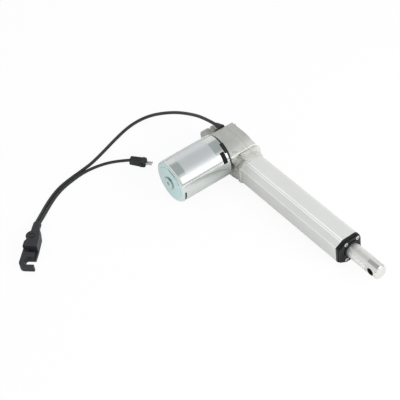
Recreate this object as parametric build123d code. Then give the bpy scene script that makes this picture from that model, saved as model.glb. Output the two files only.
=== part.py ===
from build123d import *
import math
import os

# Electric linear actuator: motor, worm gearbox, extruded tube and push rod.
# Origin at the centre of the rear clevis bore, rod along +X, motor towards -Y, +Z up, in millimetres.

# Layout from the rear pivot
motor_x = 54.2
rear_x = 22.5
floor_z = -20.0
stroke = 150.0

# Gearbox casting
top_z = 28.5
crown_radius = 45.0
crown_x = 48.7
front_x = 73.6
brow_round = 4.5
near_edge_drop = 6.5
near_edge_run = 9.0
parting_y = 5.7
far_y = 17.8
edge_round = 1.2

# Rear clevis
clevis_bore = 10.0
lug_radius = 13.5
lug_thickness = 9.6
lug_gap = 6.6

# Worm drive
module = 1.0
wheel_teeth = 30
worm_starts = 2
worm_pitch_radius = 5.0
worm_turns = 2.5
worm_bore = 5.0
wheel_width = 10.0
hub_radius = 9.0
hub_length = 17.8
backlash = 0.2
tooth_clearance = 0.25
pressure_angle = 20.0
cutter_margin = 0.4
cutter_overrun = 1.5
thread_sink = 0.3
chamber_clearance = 0.6
chamber_end_gap = 1.2
bearing_gap = 0.1
ring_gap = 0.2

# Shafts and bearings
spindle_diameter = 12.0
spindle_tail_x = 34.0
spindle_setback = 8.0
ball_bearing_diameter = 28.0
ball_bearing_width = 8.0
end_bush_diameter = 12.0
end_bush_length = 5.5
running_clearance = 0.03
sliding_clearance = 0.06
free_clearance = 0.5
ring_thickness = 1.5
ring_diameter = 17.0
dish_wall = 2.0
dish_depth = 0.6
shaft_end_gap = 0.4

# Extruded outer tube, sized about the rod's axis
tube_near_y = -20.6
tube_far_y = 15.3
tube_half_height = 18.0
chamfer_z = 11.5
shoulder_y = -11.6
shoulder_z = 16.4
crest_y = -9.5
corner_radius = 7.0
tube_start_x = 76.0
tube_dead_length = 54.0
tube_bore = 25.6
keyway_width = 4.0
keyway_depth = 1.5
channel_floor_y = -18.6
channel_width = 13.0
port_near_y = -8.6
port_far_y = 9.4
port_z = 13.4
port_diameter = 4.2

# Socket on the gearbox for the tube
socket_start_x = 62.0
socket_wall = 2.0
groove_width = 2.0
groove_floor_z = 18.9
groove_end_y = -9.5
flange_far_y = 20.8
flange_top_z = 21.8
flange_thickness = 4.0
flange_corner = 5.0
neck_wall = 0.9
neck_length = 5.2
collar_length = 6.6
collar_drop = 1.2
collar_taper = 3.0
socket_clearance = 0.1
pit_diameter = 2.6
pit_depth = 3.0

# End cap, wiper and guide
cap_thickness = 3.85
cap_plateau_inset = 1.0
cap_plateau_height = 2.4
cap_ring_height = 0.75
cap_ring_diameter = 25.4
cap_bore_clearance = 0.3
wiper_diameter = 23.6
wiper_depth = 3.4
wiper_lip_height = 0.25
wiper_lip_wall = 0.7
guide_length = 19.5
screw_head_diameter = 5.9
screw_head_height = 2.1
screw_head_rise = 0.55
screw_head_clearance = 0.15
screw_head_round = 0.9
cap_screw_length = 14.0
recess_width = 0.9
recess_length = 3.2
recess_depth = 1.0

# Push rod and nut
rod_diameter = 20.0
rod_wall = 2.5
rod_extension = 58.1
rod_end_length = 18.4
rod_end_spigot = 10.0
rod_flat_width = 17.0
rod_flat_inset = 0.5
rod_bore = 10.0
rod_bore_inset = 9.5
rod_chamfer = 1.2
nut_x = 85.2
nut_length = 24.0
nut_seat_depth = 8.0
nut_clearance = 0.3
key_height = 1.2
key_width = 3.4
guide_tip_length = 5.0
guide_tip_journal = 10.0
guide_tip_clearance = 0.1

# Limit switches
strip_thickness = 1.6
strip_width = 12.0
strip_start_x = 90.0
strip_end_gap = 20.0
switch_length = 13.0
switch_width = 6.0
switch_height = 3.2

# Motor
motor_diameter = 60.0
can_wall = 1.6
can_open_y = -31.0
can_length = 77.4
can_rim_round = 4.0
can_plateau_inset = 7.0
can_plateau_height = 1.2
can_plateau_round = 1.0
can_boss_diameter = 17.0
can_boss_height = 3.0
can_boss_wall = 1.4
can_boss_round = 0.7
can_boss_hole = 5.0
can_dent_radius = 3.0
can_dent_depth = 0.8
can_dent_angles = (197.0, 261.0)
can_slot_angle = -12.5
can_slot_width = 14.0
can_slot_length = 2.2
can_slot_inset = 2.9
can_slot_corner = 0.8
notch_angle = 54.0
notch_width = 15.0
notch_depth = 2.6
shaft_diameter = 8.0
rear_bush_diameter = 13.0
rear_bush_length = 6.0
front_bearing_diameter = 16.0
front_bearing_width = 5.0
core_air_gap = 0.9
core_start_y = -92.0
core_length = 44.0
winding_inset = 2.5
winding_length = 4.5
magnet_thickness = 8.0
magnet_length = 50.0
magnet_span = 130.0
commutator_diameter = 18.0
commutator_start_y = -43.0
commutator_length = 7.0
brush_width = 6.0
brush_depth = 5.0
brush_length = 10.0
brush_gap = 0.2
holder_wall = 1.6
bell_inset = 2.0
bell_disc_thickness = 3.0
bell_neck_diameter = 35.0
bell_tab_clearance = 0.3
bell_spigot_length = 5.0
bell_spigot_wall = 3.0
window_width = 16.5
window_length = 6.6
window_inset = 3.0
window_corner = 1.6
window_angle = 31.5
motor_screw_spread = 11.5
motor_screw_drop = 8.5
motor_screw_diameter = 4.0
motor_screw_depth = 7.6
brush_lap = 1.0
motor_head_diameter = 7.0
motor_head_height = 2.6

# Cover screws, as places in the XZ plane of the cover
cover_screw_places = [(27.0, -15.0), (27.0, 23.5), (68.5, -16.0), (68.0, 17.5)]
cover_screw_diameter = 3.5
cover_screw_length = 16.0
cover_head_diameter = 6.4
cover_head_height = 2.2

# Cable gland on the rear face
gland_near_y = -9.0
gland_far_y = 5.5
gland_bottom_z = 21.0
gland_thickness = 2.8
boot_base_radius = 5.0
boot_tip_radius = 3.2

# Cords and what hangs on them
cord_radius = 2.3
plug_cord_radius = 2.1
plug_angle = 34.5
plug_x = -54.8
plug_y = -105.8
plug_length = 23.5
plug_width = 12.0
plug_height = 8.0
plug_taper = 1.2
plug_wing_inset = 6.6
plug_wing_length = 3.2
plug_wing_reach = 1.4
plug_ridge_width = 1.2
plug_ridge_height = 0.6
pin_radius = 1.3
pin_spacing = 3.8
pin_length = 9.0
pin_depth = 6.0
connector_angle = -43.8
connector_x = -33.8
connector_y = -268.0
connector_height = 15.0
connector_left = -6.7
connector_right = 12.6
connector_rise = 6.6
cord_entry_offset = 2.45
cord_entry_depth = 1.5
boot_start = -0.6
boot_length = 12.6
boot_radius = 5.6
boot_offset = 0.5
boot_round = 2.4
neck_left = -2.0
neck_right = 7.0
neck_bend = 20.0
head_place = (28.5, 1.5)
head_radius = 8.5
head_notch = (35.0, -4.4)
cheek_start = 39.3
shoulder_place = (25.0, 11.3)
body_end = 62.0
left_wall = 6.7
pocket_start = 48.0
pocket_floor = 4.0
tongue_start = 54.0
tongue_far = 9.5
latch_hole_radius = 1.25
latch_hole_place = (51.4, -2.2)
hook_end = 78.5
hook_height = 10.0
hook_thickness = 3.5
hook_tip = 14.2
hook_outer_round = 8.0
hook_inner_round = 3.0
key_radius = 4.5
key_wall = 1.2
key_thickness = 0.8

# Worked out from the sizes above
wheel_pitch_radius = module * wheel_teeth / 2
wheel_tip_radius = wheel_pitch_radius + module
wheel_root_radius = wheel_pitch_radius - module - tooth_clearance
worm_tip_radius = worm_pitch_radius + module
worm_root_radius = worm_pitch_radius - module - tooth_clearance
worm_lead = math.pi * module * worm_starts
motor_z = wheel_pitch_radius + worm_pitch_radius
near_y = tube_near_y - socket_wall
lug_outer_y = lug_gap / 2 + lug_thickness
hub_rear_x = motor_x - hub_length / 2
hub_front_x = motor_x + hub_length / 2
rear_bearing_x = hub_rear_x - bearing_gap - ball_bearing_width
front_bearing_x = hub_front_x + bearing_gap
worm_half_length = worm_lead * worm_turns / 2 + module
chamber_far_y = worm_half_length + chamber_end_gap
chamber_near_y = -chamber_far_y
tube_end_x = tube_start_x + stroke + tube_dead_length
cap_face_x = tube_end_x + cap_thickness
cap_plateau_x = cap_face_x + cap_plateau_height
cap_seat_x = cap_plateau_x + screw_head_rise - screw_head_height
cap_mouth_x = cap_plateau_x + cap_ring_height
flange_start_x = front_x + groove_width
flange_end_x = flange_start_x + flange_thickness
neck_end_x = flange_end_x + neck_length
collar_end_x = neck_end_x + collar_length
can_closed_y = can_open_y - can_length
can_plateau_diameter = motor_diameter - 2 * can_plateau_inset
core_diameter = motor_diameter - 2 * (can_wall + magnet_thickness + core_air_gap)
winding_diameter = core_diameter - 2 * winding_inset
bell_diameter = motor_diameter - 2 * bell_inset
can_boss_y = can_closed_y - can_boss_height
rod_start_x = nut_x + nut_length - nut_seat_depth
rod_end_x = tube_end_x + rod_extension
rod_bore_x = rod_end_x - rod_bore_inset
rod_seam_x = rod_end_x - rod_end_length
guide_start_x = tube_end_x - guide_length
spindle_front_x = tube_end_x - spindle_setback
strip_end_x = tube_end_x - strip_end_gap
tooth_slope = math.tan(math.radians(pressure_angle))

# Routes of the two cords, from the gland to the hooked connector and from the plug to it
main_route = [
    (9.2, 0.6, 25.4),
    (-18.6, -1.0, 22.0),
    (-52.4, -4.4, 10.0),
    (-80.5, -12.8, 0.0),
    (-105.0, -28.1, -10.0),
    (-116.0, -43.6, -15.6),
    (-117.6, -65.1, -17.7),
    (-109.4, -92.3, -17.7),
    (-98.2, -120.7, -17.7),
    (-88.2, -148.4, -17.7),
    (-85.0, -167.3, -17.7),
    (-81.7, -189.9, -17.7),
    (-76.9, -209.3, -17.7),
    (-68.2, -226.8, -17.7),
    (-57.6, -242.6, -17.3),
    (-45.6, -256.6, -15.2),
]
plug_route = [
    (-65.2, -117.4, -17.2),
    (-73.6, -131.4, -17.9),
    (-78.4, -147.6, -17.9),
    (-80.4, -166.8, -17.9),
    (-77.1, -188.6, -17.9),
    (-72.4, -207.4, -17.9),
    (-64.2, -224.0, -17.9),
    (-53.6, -239.4, -17.4),
    (-42.2, -252.8, -15.2),
]


def box(x0, x1, y0, y1, z0, z1):
    """Block between two corners."""
    middle = Pos((x0 + x1) / 2, (y0 + y1) / 2, (z0 + z1) / 2)
    return middle * Box(x1 - x0, y1 - y0, z1 - z0)


def along_x(radius, x0, x1, y=0.0, z=0.0):
    """Round bar along X."""
    bar = Cylinder(radius, x1 - x0, align=(Align.CENTER, Align.CENTER, Align.MIN))
    return Pos(x0, y, z) * Rot(0, 90, 0) * bar


def along_y(radius, y0, y1, x=motor_x, z=motor_z):
    """Round bar along Y, on the motor's axis unless placed elsewhere."""
    bar = Cylinder(radius, y1 - y0, align=(Align.CENTER, Align.CENTER, Align.MIN))
    return Pos(x, y0, z) * Rot(-90, 0, 0) * bar


def ring_x(outer, inner, x0, x1, y=0.0, z=0.0):
    """Plain ring along X."""
    return along_x(outer, x0, x1, y, z) - along_x(inner, x0, x1, y, z)


def ring_y(outer, inner, y0, y1, x=motor_x, z=motor_z):
    """Plain ring along Y."""
    return along_y(outer, y0, y1, x, z) - along_y(inner, y0, y1, x, z)


def tube_outline():
    """Outer outline of the extrusion, in the YZ plane about the rod's axis."""
    half = tube_half_height
    points = [
        (tube_near_y, -chamfer_z),
        (tube_near_y, chamfer_z),
        (shoulder_y, shoulder_z),
        (crest_y, half),
        (tube_far_y, half),
        (tube_far_y, -half),
        (crest_y, -half),
        (shoulder_y, -shoulder_z),
    ]
    face = Plane.YZ * make_face(Polyline(*points, close=True))
    return fillet(face.vertices().sort_by(Axis.Y)[-2:], corner_radius)


def outline_block(grow, x0, x1):
    """Solid with the tube's outline grown by a wall, kept above the floor."""
    outline = offset(tube_outline(), grow, kind=Kind.ARC) if grow else tube_outline()
    block = Pos(x0, 0, 0) * extrude(outline, x1 - x0)
    reach = 2 * motor_diameter
    return block & box(x0, x1, -reach, reach, floor_z, reach)


def crown_profile():
    """Side profile of the gearbox: flat top, long sloping crown, rounded brow and flat front."""
    lean = math.asin((front_x - crown_x) / crown_radius)
    centre_z = top_z - crown_radius
    brow_z = centre_z + crown_radius * math.cos(lean)
    on_arc = (
        crown_x + crown_radius * math.sin(lean / 2),
        centre_z + crown_radius * math.cos(lean / 2),
    )
    edges = [
        Line((rear_x, floor_z), (rear_x, top_z)),
        Line((rear_x, top_z), (crown_x, top_z)),
        ThreePointArc((crown_x, top_z), on_arc, (front_x, brow_z)),
        Line((front_x, brow_z), (front_x, floor_z)),
        Line((front_x, floor_z), (rear_x, floor_z)),
    ]
    face = make_face(edges)
    face = fillet(face.vertices().sort_by(Axis.X)[:2], edge_round)
    brow = face.vertices().sort_by(Axis.X)[-2:].sort_by(Axis.Y)[-1]
    return fillet(brow, brow_round)


def crown_block(y0, y1):
    """Gearbox profile stretched along Y."""
    return Pos(0, y1, 0) * extrude(Plane.XZ * crown_profile(), y1 - y0)


def lug(y0, y1):
    """One clevis lug, round about the pivot and running into the rear face."""
    round_end = along_y(lug_radius, y0, y1, 0, 0)
    shank = box(0, rear_x, y0, y1, -lug_radius, lug_radius)
    return round_end + shank - along_y(clevis_bore / 2, y0, y1, 0, 0)


def gear_chamber():
    """Hollow inside the casting for the wheel, the worm and their bearings."""
    wheel_room = wheel_width / 2 + chamber_end_gap
    wheel_reach = wheel_tip_radius + chamber_clearance
    seat_radius = ball_bearing_diameter / 2
    tool = along_x(wheel_reach, motor_x - wheel_room, motor_x + wheel_room)
    tool += along_x(seat_radius, rear_bearing_x, rear_bearing_x + ball_bearing_width)
    tool += along_x(seat_radius, front_bearing_x, front_bearing_x + ball_bearing_width)
    tool += along_x(hub_radius + free_clearance, rear_bearing_x, front_bearing_x)
    tool += along_x(ring_diameter / 2 + free_clearance, spindle_tail_x - free_clearance, rear_bearing_x)
    tool += along_x(spindle_diameter / 2 + free_clearance, front_bearing_x, tube_start_x)
    tool += along_y(worm_tip_radius + chamber_clearance, chamber_near_y, chamber_far_y)
    tool += along_y(shaft_diameter / 2 + free_clearance, near_y, chamber_near_y)
    tool += along_y(end_bush_diameter / 2, chamber_far_y, chamber_far_y + end_bush_length)
    return tool


def cover_screw_holes():
    """Clear and tapped holes for the four cover screws."""
    return [
        along_y(cover_screw_diameter / 2, far_y - cover_screw_length, far_y, x, z)
        for x, z in cover_screw_places
    ]


def motor_screw_places():
    """Places of the two screws that hold the motor to the gearbox."""
    z = motor_z - motor_screw_drop
    return [(motor_x - motor_screw_spread, z), (motor_x + motor_screw_spread, z)]


def near_edge_cut():
    """Wedge that slants the lower near edge of the gearbox like the tube's near edge."""
    outline = Polyline(
        (near_y, floor_z + near_edge_drop),
        (near_y, floor_z),
        (near_y + near_edge_run, floor_z),
        close=True,
    )
    return Pos(rear_x, 0, 0) * extrude(Plane.YZ * make_face(outline), front_x - rear_x)


def tube_socket():
    """Socket round the tube with a flange rib behind it and a tapered collar."""
    reach = 2 * motor_diameter
    base = outline_block(socket_wall, socket_start_x, flange_end_x)
    base -= box(socket_start_x, front_x, parting_y, reach, -reach, reach)
    base -= box(front_x, flange_start_x, groove_end_y, reach, groove_floor_z, reach)
    plate = Rectangle(flange_far_y - groove_end_y, flange_top_z - floor_z)
    far_corner = plate.vertices().sort_by(Axis.X)[-2:].sort_by(Axis.Y)[-1]
    plate = fillet(far_corner, flange_corner)
    middle = (flange_start_x, (groove_end_y + flange_far_y) / 2, (flange_top_z + floor_z) / 2)
    rib = extrude(Plane(origin=middle, x_dir=(0, 1, 0), z_dir=(1, 0, 0)) * plate, flange_thickness)
    neck = outline_block(neck_wall, flange_end_x, neck_end_x)
    collar = outline_block(socket_wall, neck_end_x, collar_end_x)
    front = collar.faces().sort_by(Axis.X)[-1]
    collar = chamfer(front.edges(), collar_drop, collar_taper, reference=front)
    pit = along_x(pit_diameter / 2, flange_start_x - pit_depth, flange_start_x)
    return base + rib + neck + collar - Pos(0, groove_end_y, groove_floor_z) * pit


def gear_housing():
    """Near half of the gearbox with the tube socket and the near lug."""
    body = crown_block(near_y, parting_y) - near_edge_cut()
    body = body + tube_socket() + lug(-lug_outer_y, -lug_gap / 2)
    body -= outline_block(socket_clearance, tube_start_x, collar_end_x)
    body -= gear_chamber()
    body -= cover_screw_holes()
    for x, z in motor_screw_places():
        body -= along_y(motor_screw_diameter / 2, near_y, near_y + motor_screw_depth, x, z)
    return body


def gear_cover():
    """Far half of the gearbox with the far lug."""
    body = crown_block(parting_y, far_y)
    rim = body.faces().sort_by(Axis.Y)[-1].edges()
    body = chamfer(rim, edge_round / 2)
    body += lug(lug_gap / 2, lug_outer_y)
    body -= gear_chamber()
    body -= cover_screw_holes()
    return body


def cross_recess(width, length, depth):
    """Cross cut in a screw head, sunk from z = 0 downwards."""
    low = (Align.CENTER, Align.CENTER, Align.MAX)
    return Box(length, width, depth, align=low) + Box(width, length, depth, align=low)


def pan_screw(shank_diameter, shank_length, head_diameter, head_height):
    """Pan-head screw along Z with its head above z = 0."""
    up = (Align.CENTER, Align.CENTER, Align.MIN)
    down = (Align.CENTER, Align.CENTER, Align.MAX)
    head = Cylinder(head_diameter / 2, head_height, align=up)
    head = fillet(head.faces().sort_by(Axis.Z)[-1].edges(), screw_head_round)
    head -= Pos(0, 0, head_height) * cross_recess(recess_width, recess_length, recess_depth)
    return head + Cylinder(shank_diameter / 2, shank_length, align=down)


def cover_screws():
    """Four pan-head screws on the far side."""
    screw = pan_screw(cover_screw_diameter, cover_screw_length, cover_head_diameter, cover_head_height)
    turn = Rot(-90, 0, 0)
    return [Pos(x, far_y, z) * turn * screw for x, z in cover_screw_places]


def outer_tube():
    """Extruded tube with a round bore, two keyways, a switch channel and four screw ports."""
    body = outline_block(0, tube_start_x, tube_end_x)
    x0, x1 = tube_start_x, tube_end_x
    radius = tube_bore / 2
    reach = radius + keyway_depth
    body -= along_x(radius, x0, x1)
    body -= box(x0, x1, -keyway_width / 2, keyway_width / 2, -reach, reach)
    body -= box(x0, x1, channel_floor_y, 0, -channel_width / 2, channel_width / 2)
    for y, z in port_places():
        body -= along_x(port_diameter / 2, x0, x1, y, z)
    return body


def port_places():
    """Places of the four screw ports in the tube's outline."""
    return [(y, z) for y in (port_near_y, port_far_y) for z in (-port_z, port_z)]


def guide_bush():
    """Plain bush that carries the rod at the mouth of the tube."""
    inner = rod_diameter / 2 + sliding_clearance
    return ring_x(tube_bore / 2, inner, guide_start_x, tube_end_x)


def end_cap():
    """Moulded cap with a plateau for the screws, a low ring round the rod and a seat for the wiper."""
    body = outline_block(0, tube_end_x, cap_face_x)
    body = fillet(body.faces().sort_by(Axis.X)[-1].edges(), edge_round / 2)
    plateau = outline_block(-cap_plateau_inset, tube_end_x, cap_plateau_x)
    body += fillet(plateau.faces().sort_by(Axis.X)[-1].edges(), edge_round / 4)
    body += along_x(cap_ring_diameter / 2, tube_end_x, cap_mouth_x)
    body -= along_x(rod_diameter / 2 + cap_bore_clearance, tube_end_x, cap_mouth_x)
    body -= along_x(wiper_diameter / 2, cap_mouth_x - wiper_depth, cap_mouth_x)
    seat_radius = screw_head_diameter / 2 + screw_head_clearance
    for y, z in port_places():
        body -= along_x(port_diameter / 2, tube_end_x, cap_seat_x, y, z)
        body -= along_x(seat_radius, cap_seat_x, cap_mouth_x, y, z)
    return body


def wiper_seal():
    """Wiper ring with a lip that stands a little proud of the cap."""
    x1 = cap_mouth_x
    inner = rod_diameter / 2 + sliding_clearance
    seal = ring_x(wiper_diameter / 2, inner, x1 - wiper_depth, x1)
    return seal + ring_x(inner + wiper_lip_wall, inner, x1, x1 + wiper_lip_height)


def cap_screws():
    """Four pan-head screws through the cap into the tube's ports."""
    screw = pan_screw(port_diameter, cap_screw_length, screw_head_diameter, screw_head_height)
    turn = Rot(0, 90, 0)
    return [Pos(cap_seat_x, y, z) * turn * screw for y, z in port_places()]


def switch_strip():
    """Circuit strip on the floor of the tube's side channel."""
    half = strip_width / 2
    y1 = channel_floor_y + strip_thickness
    return box(strip_start_x, strip_end_x, channel_floor_y, y1, -half, half)


def limit_switches():
    """Two limit switches beside the nut's end positions."""
    y0 = channel_floor_y + strip_thickness
    half = switch_width / 2
    starts = (nut_x + nut_length / 2, nut_x + stroke + nut_length / 2)
    return [
        box(x - switch_length / 2, x + switch_length / 2, y0, y0 + switch_height, -half, half)
        for x in starts
    ]


def ball_bearing(x0):
    """Shielded ball bearing along X, as one ring with a dished face on each side."""
    outer = ball_bearing_diameter / 2
    inner = spindle_diameter / 2 + running_clearance
    body = ring_x(outer, inner, x0, x0 + ball_bearing_width)
    dish = ring_x(outer - dish_wall, inner + dish_wall, 0, dish_depth)
    return body - Pos(x0, 0, 0) * dish - Pos(x0 + ball_bearing_width - dish_depth, 0, 0) * dish


def end_bush():
    """Bush for the far end of the worm's shaft."""
    inner = worm_bore / 2 + running_clearance
    return ring_y(end_bush_diameter / 2, inner, chamber_far_y, chamber_far_y + end_bush_length)


def spindle():
    """Lead screw with its journal for the front guide."""
    body = along_x(spindle_diameter / 2, spindle_tail_x, spindle_front_x)
    tip_x = spindle_front_x - guide_tip_length
    body -= ring_x(spindle_diameter / 2, guide_tip_journal / 2, tip_x, spindle_front_x)
    return body


def spindle_guide():
    """Plain ring that centres the spindle inside the push rod."""
    outer = rod_diameter / 2 - rod_wall - guide_tip_clearance
    return ring_x(outer, guide_tip_journal / 2, spindle_front_x - guide_tip_length, spindle_front_x)


def retaining_ring():
    """Ring that holds the spindle behind its rear bearing."""
    x1 = rear_bearing_x - ring_gap
    return ring_x(ring_diameter / 2, spindle_diameter / 2, x1 - ring_thickness, x1)


def worm_wheel():
    """Helical worm wheel with its hub, drawn with a tooth space at the top."""
    x0, x1 = motor_x - wheel_width / 2, motor_x + wheel_width / 2
    body = along_x(wheel_tip_radius, x0, x1)
    body += along_x(hub_radius, hub_rear_x, hub_front_x)
    root_half = module * math.pi / 4 - (module + tooth_clearance) * tooth_slope + backlash
    reach = wheel_tip_radius + cutter_margin
    tip_half = root_half + (reach - wheel_root_radius) * tooth_slope
    space = Polyline(
        (-root_half, wheel_root_radius),
        (root_half, wheel_root_radius),
        (tip_half, reach),
        (-tip_half, reach),
        close=True,
    )
    skew = worm_lead / (2 * math.pi * worm_pitch_radius)
    run = wheel_width / 2 + cutter_overrun
    face = Pos(motor_x - run, run * skew, 0) * (Plane.YZ * make_face(space))
    cutter = extrude(face, amount=2 * run * math.hypot(1, skew), dir=(1, -skew, 0))
    body -= [Rot(360 / wheel_teeth * i, 0, 0) * cutter for i in range(wheel_teeth)]
    return body - along_x(spindle_diameter / 2, hub_rear_x, hub_front_x)


def worm():
    """Two-start right-hand worm, a thread standing over the tooth space at the top of the wheel."""
    length = worm_lead * worm_turns
    path = Helix(worm_lead, length, worm_pitch_radius)
    half = module * math.pi / 4 - backlash / 2
    deep = worm_pitch_radius - worm_root_radius + thread_sink
    section = Polyline(
        (-deep, -half - deep * tooth_slope),
        (module, -half + module * tooth_slope),
        (module, half - module * tooth_slope),
        (-deep, half + deep * tooth_slope),
        close=True,
    )
    start = Plane(origin=path @ 0, x_dir=(1, 0, 0), z_dir=path % 0)
    thread = sweep(start * make_face(section), path=path, is_frenet=True)
    body = Cylinder(worm_root_radius, 2 * worm_half_length)
    for start_index in range(worm_starts):
        body += Rot(0, 0, 360 / worm_starts * start_index) * Pos(0, 0, -length / 2) * thread
    limits = Cylinder(worm_tip_radius + 1, 2 * worm_half_length)
    body = (body & limits) - Cylinder(worm_bore / 2, 2 * worm_half_length)
    return Pos(motor_x, 0, motor_z) * Rot(-90, 0, 0) * body


def motor_shaft():
    """Stepped shaft of the motor, thin where it carries the worm."""
    y1 = chamber_far_y + end_bush_length - shaft_end_gap
    body = along_y(shaft_diameter / 2, can_boss_y + can_boss_wall + shaft_end_gap, -worm_half_length)
    return body + along_y(worm_bore / 2, -worm_half_length, y1)


def armature_core():
    """Laminated core pressed on the shaft."""
    return ring_y(core_diameter / 2, shaft_diameter / 2, core_start_y, core_start_y + core_length)


def armature_windings():
    """Winding heads at both ends of the core."""
    outer = winding_diameter / 2
    inner = shaft_diameter / 2
    core_end_y = core_start_y + core_length
    return [
        ring_y(outer, inner, core_start_y - winding_length, core_start_y),
        ring_y(outer, inner, core_end_y, core_end_y + winding_length),
    ]


def commutator():
    """Copper commutator under the brushes."""
    y1 = commutator_start_y + commutator_length
    return ring_y(commutator_diameter / 2, shaft_diameter / 2, commutator_start_y, y1)


def rim_window(angle, width, y0, y1, corner=window_corner):
    """Cutter with rounded corners through the can's wall, at an angle above the X direction."""
    depth = 4 * can_wall
    start = motor_diameter / 2 + can_wall - depth
    outline = RectangleRounded(y1 - y0, width, corner)
    plane = Plane(origin=(start, (y0 + y1) / 2, 0), x_dir=(0, 1, 0), z_dir=(1, 0, 0))
    return Pos(motor_x, 0, motor_z) * Rot(0, -angle, 0) * extrude(plane * outline, depth)


def rim_dent(angle):
    """Ball that presses a small dent into the rounded rim of the can's closed end."""
    out = (can_rim_round + can_dent_radius - can_dent_depth) * math.sqrt(0.5)
    place = Pos(motor_diameter / 2 - can_rim_round + out, can_closed_y + can_rim_round - out, 0)
    return Pos(motor_x, 0, motor_z) * Rot(0, -angle, 0) * place * Sphere(can_dent_radius)


def motor_can():
    """Drawn steel can with a stamped plateau and a bearing boss on its closed end."""
    radius = motor_diameter / 2
    inner_y = can_closed_y + can_wall
    body = along_y(radius, can_closed_y, can_open_y)
    body = fillet(body.faces().sort_by(Axis.Y)[0].edges(), can_rim_round)
    plateau = along_y(can_plateau_diameter / 2, can_closed_y - can_plateau_height, inner_y)
    body += fillet(plateau.faces().sort_by(Axis.Y)[0].edges(), can_plateau_round)
    boss = along_y(can_boss_diameter / 2, can_boss_y, inner_y)
    body += fillet(boss.faces().sort_by(Axis.Y)[0].edges(), can_boss_round)
    hollow = along_y(radius - can_wall, inner_y, can_open_y)
    body -= fillet(hollow.faces().sort_by(Axis.Y)[0].edges(), can_rim_round - can_wall)
    body -= along_y(rear_bush_diameter / 2, can_boss_y + can_boss_wall, inner_y)
    body -= along_y(can_boss_hole / 2, can_boss_y, can_boss_y + can_boss_wall)
    for angle in can_dent_angles:
        body -= rim_dent(angle)
    y0 = can_open_y - notch_depth
    y1 = can_open_y - window_inset
    for turn in (0, 180):
        body -= rim_window(window_angle + turn, window_width, y1 - window_length, y1)
        body -= rim_window(notch_angle + turn, notch_width, y0, y0 + 2 * notch_depth)
    y0 = can_closed_y + can_slot_inset
    body -= rim_window(can_slot_angle, can_slot_width, y0, y0 + can_slot_length, can_slot_corner)
    return body


def motor_magnets():
    """Two arc magnets inside the can."""
    outer = motor_diameter / 2 - can_wall
    y0 = core_start_y + core_length / 2 - magnet_length / 2
    shell = ring_y(outer, outer - magnet_thickness, y0, y0 + magnet_length, 0, 0)
    half = math.radians(magnet_span / 2)
    side = box(outer * math.cos(half), outer, y0, y0 + magnet_length, -outer, outer)
    arc = shell & side
    middle = Pos(motor_x, 0, motor_z)
    return [middle * arc, middle * Rot(0, 180, 0) * arc]


def motor_end_bell():
    """Moulded end bell between the can and the gearbox, with two brush holders."""
    radius = bell_diameter / 2
    spigot = motor_diameter / 2 - can_wall
    body = along_y(radius, can_open_y, can_open_y + bell_disc_thickness)
    body += along_y(bell_neck_diameter / 2, can_open_y, near_y)
    body += ring_y(spigot, spigot - bell_spigot_wall, can_open_y - bell_spigot_length, can_open_y)
    holder_half = brush_width / 2 + holder_wall
    x0 = commutator_diameter / 2 + brush_gap + brush_lap
    y0 = commutator_start_y
    holder = box(x0, x0 + brush_length + holder_wall, y0, can_open_y, -holder_half, holder_half)
    slot = brush_slot()
    for turn in (0, 180):
        place = Pos(motor_x, 0, motor_z) * Rot(0, turn, 0)
        body += place * holder
        body -= place * slot
        body += bell_tab(turn)
    body -= along_y(shaft_diameter / 2 + free_clearance, can_open_y, near_y)
    body -= along_y(front_bearing_diameter / 2, can_open_y, can_open_y + front_bearing_width)
    for x, z in motor_screw_places():
        body -= along_y(motor_screw_diameter / 2, can_open_y, near_y, x, z)
        body -= along_y(motor_head_diameter / 2, can_open_y, can_open_y + motor_head_height, x, z)
    return body


def bell_tab(turn):
    """Tab of the end bell that fills a notch in the can's rim."""
    y0 = can_open_y - notch_depth + bell_tab_clearance
    y1 = can_open_y + bell_disc_thickness
    half = notch_width / 2 - bell_tab_clearance
    spigot = motor_diameter / 2 - can_wall - bell_spigot_wall
    sector = box(spigot, motor_diameter / 2, y0, y1, -half, half)
    round_limit = along_y(motor_diameter / 2, y0, y1, 0, 0)
    return Pos(motor_x, 0, motor_z) * Rot(0, -notch_angle - turn, 0) * (sector & round_limit)


def brush_slot():
    """Room of one brush beside the commutator."""
    x0 = commutator_diameter / 2 + brush_gap
    y0 = commutator_start_y + (commutator_length - brush_depth) / 2
    half = brush_width / 2
    return box(x0, x0 + brush_length, y0, y0 + brush_depth, -half, half)


def motor_brushes():
    """Two carbon brushes facing the commutator."""
    middle = Pos(motor_x, 0, motor_z)
    return [middle * Rot(0, turn, 0) * brush_slot() for turn in (0, 180)]


def motor_screws():
    """Two screws from inside the motor into the gearbox."""
    y1 = near_y + motor_screw_depth
    head_y = can_open_y + motor_head_height
    return [
        along_y(motor_screw_diameter / 2, head_y, y1, x, z)
        + along_y(motor_head_diameter / 2, can_open_y, head_y, x, z)
        for x, z in motor_screw_places()
    ]


def motor_front_bearing():
    """Bearing of the motor's shaft in the end bell."""
    inner = shaft_diameter / 2 + running_clearance
    return ring_y(front_bearing_diameter / 2, inner, can_open_y, can_open_y + front_bearing_width)


def motor_rear_bush():
    """Bush of the motor's shaft in the boss of the can."""
    inner = shaft_diameter / 2 + running_clearance
    y0 = can_boss_y + can_boss_wall
    return ring_y(rear_bush_diameter / 2, inner, y0, y0 + rear_bush_length)


def push_rod():
    """Round tube that leaves the actuator."""
    outer = rod_diameter / 2
    return ring_x(outer, outer - rod_wall, rod_start_x, rod_seam_x)


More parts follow.
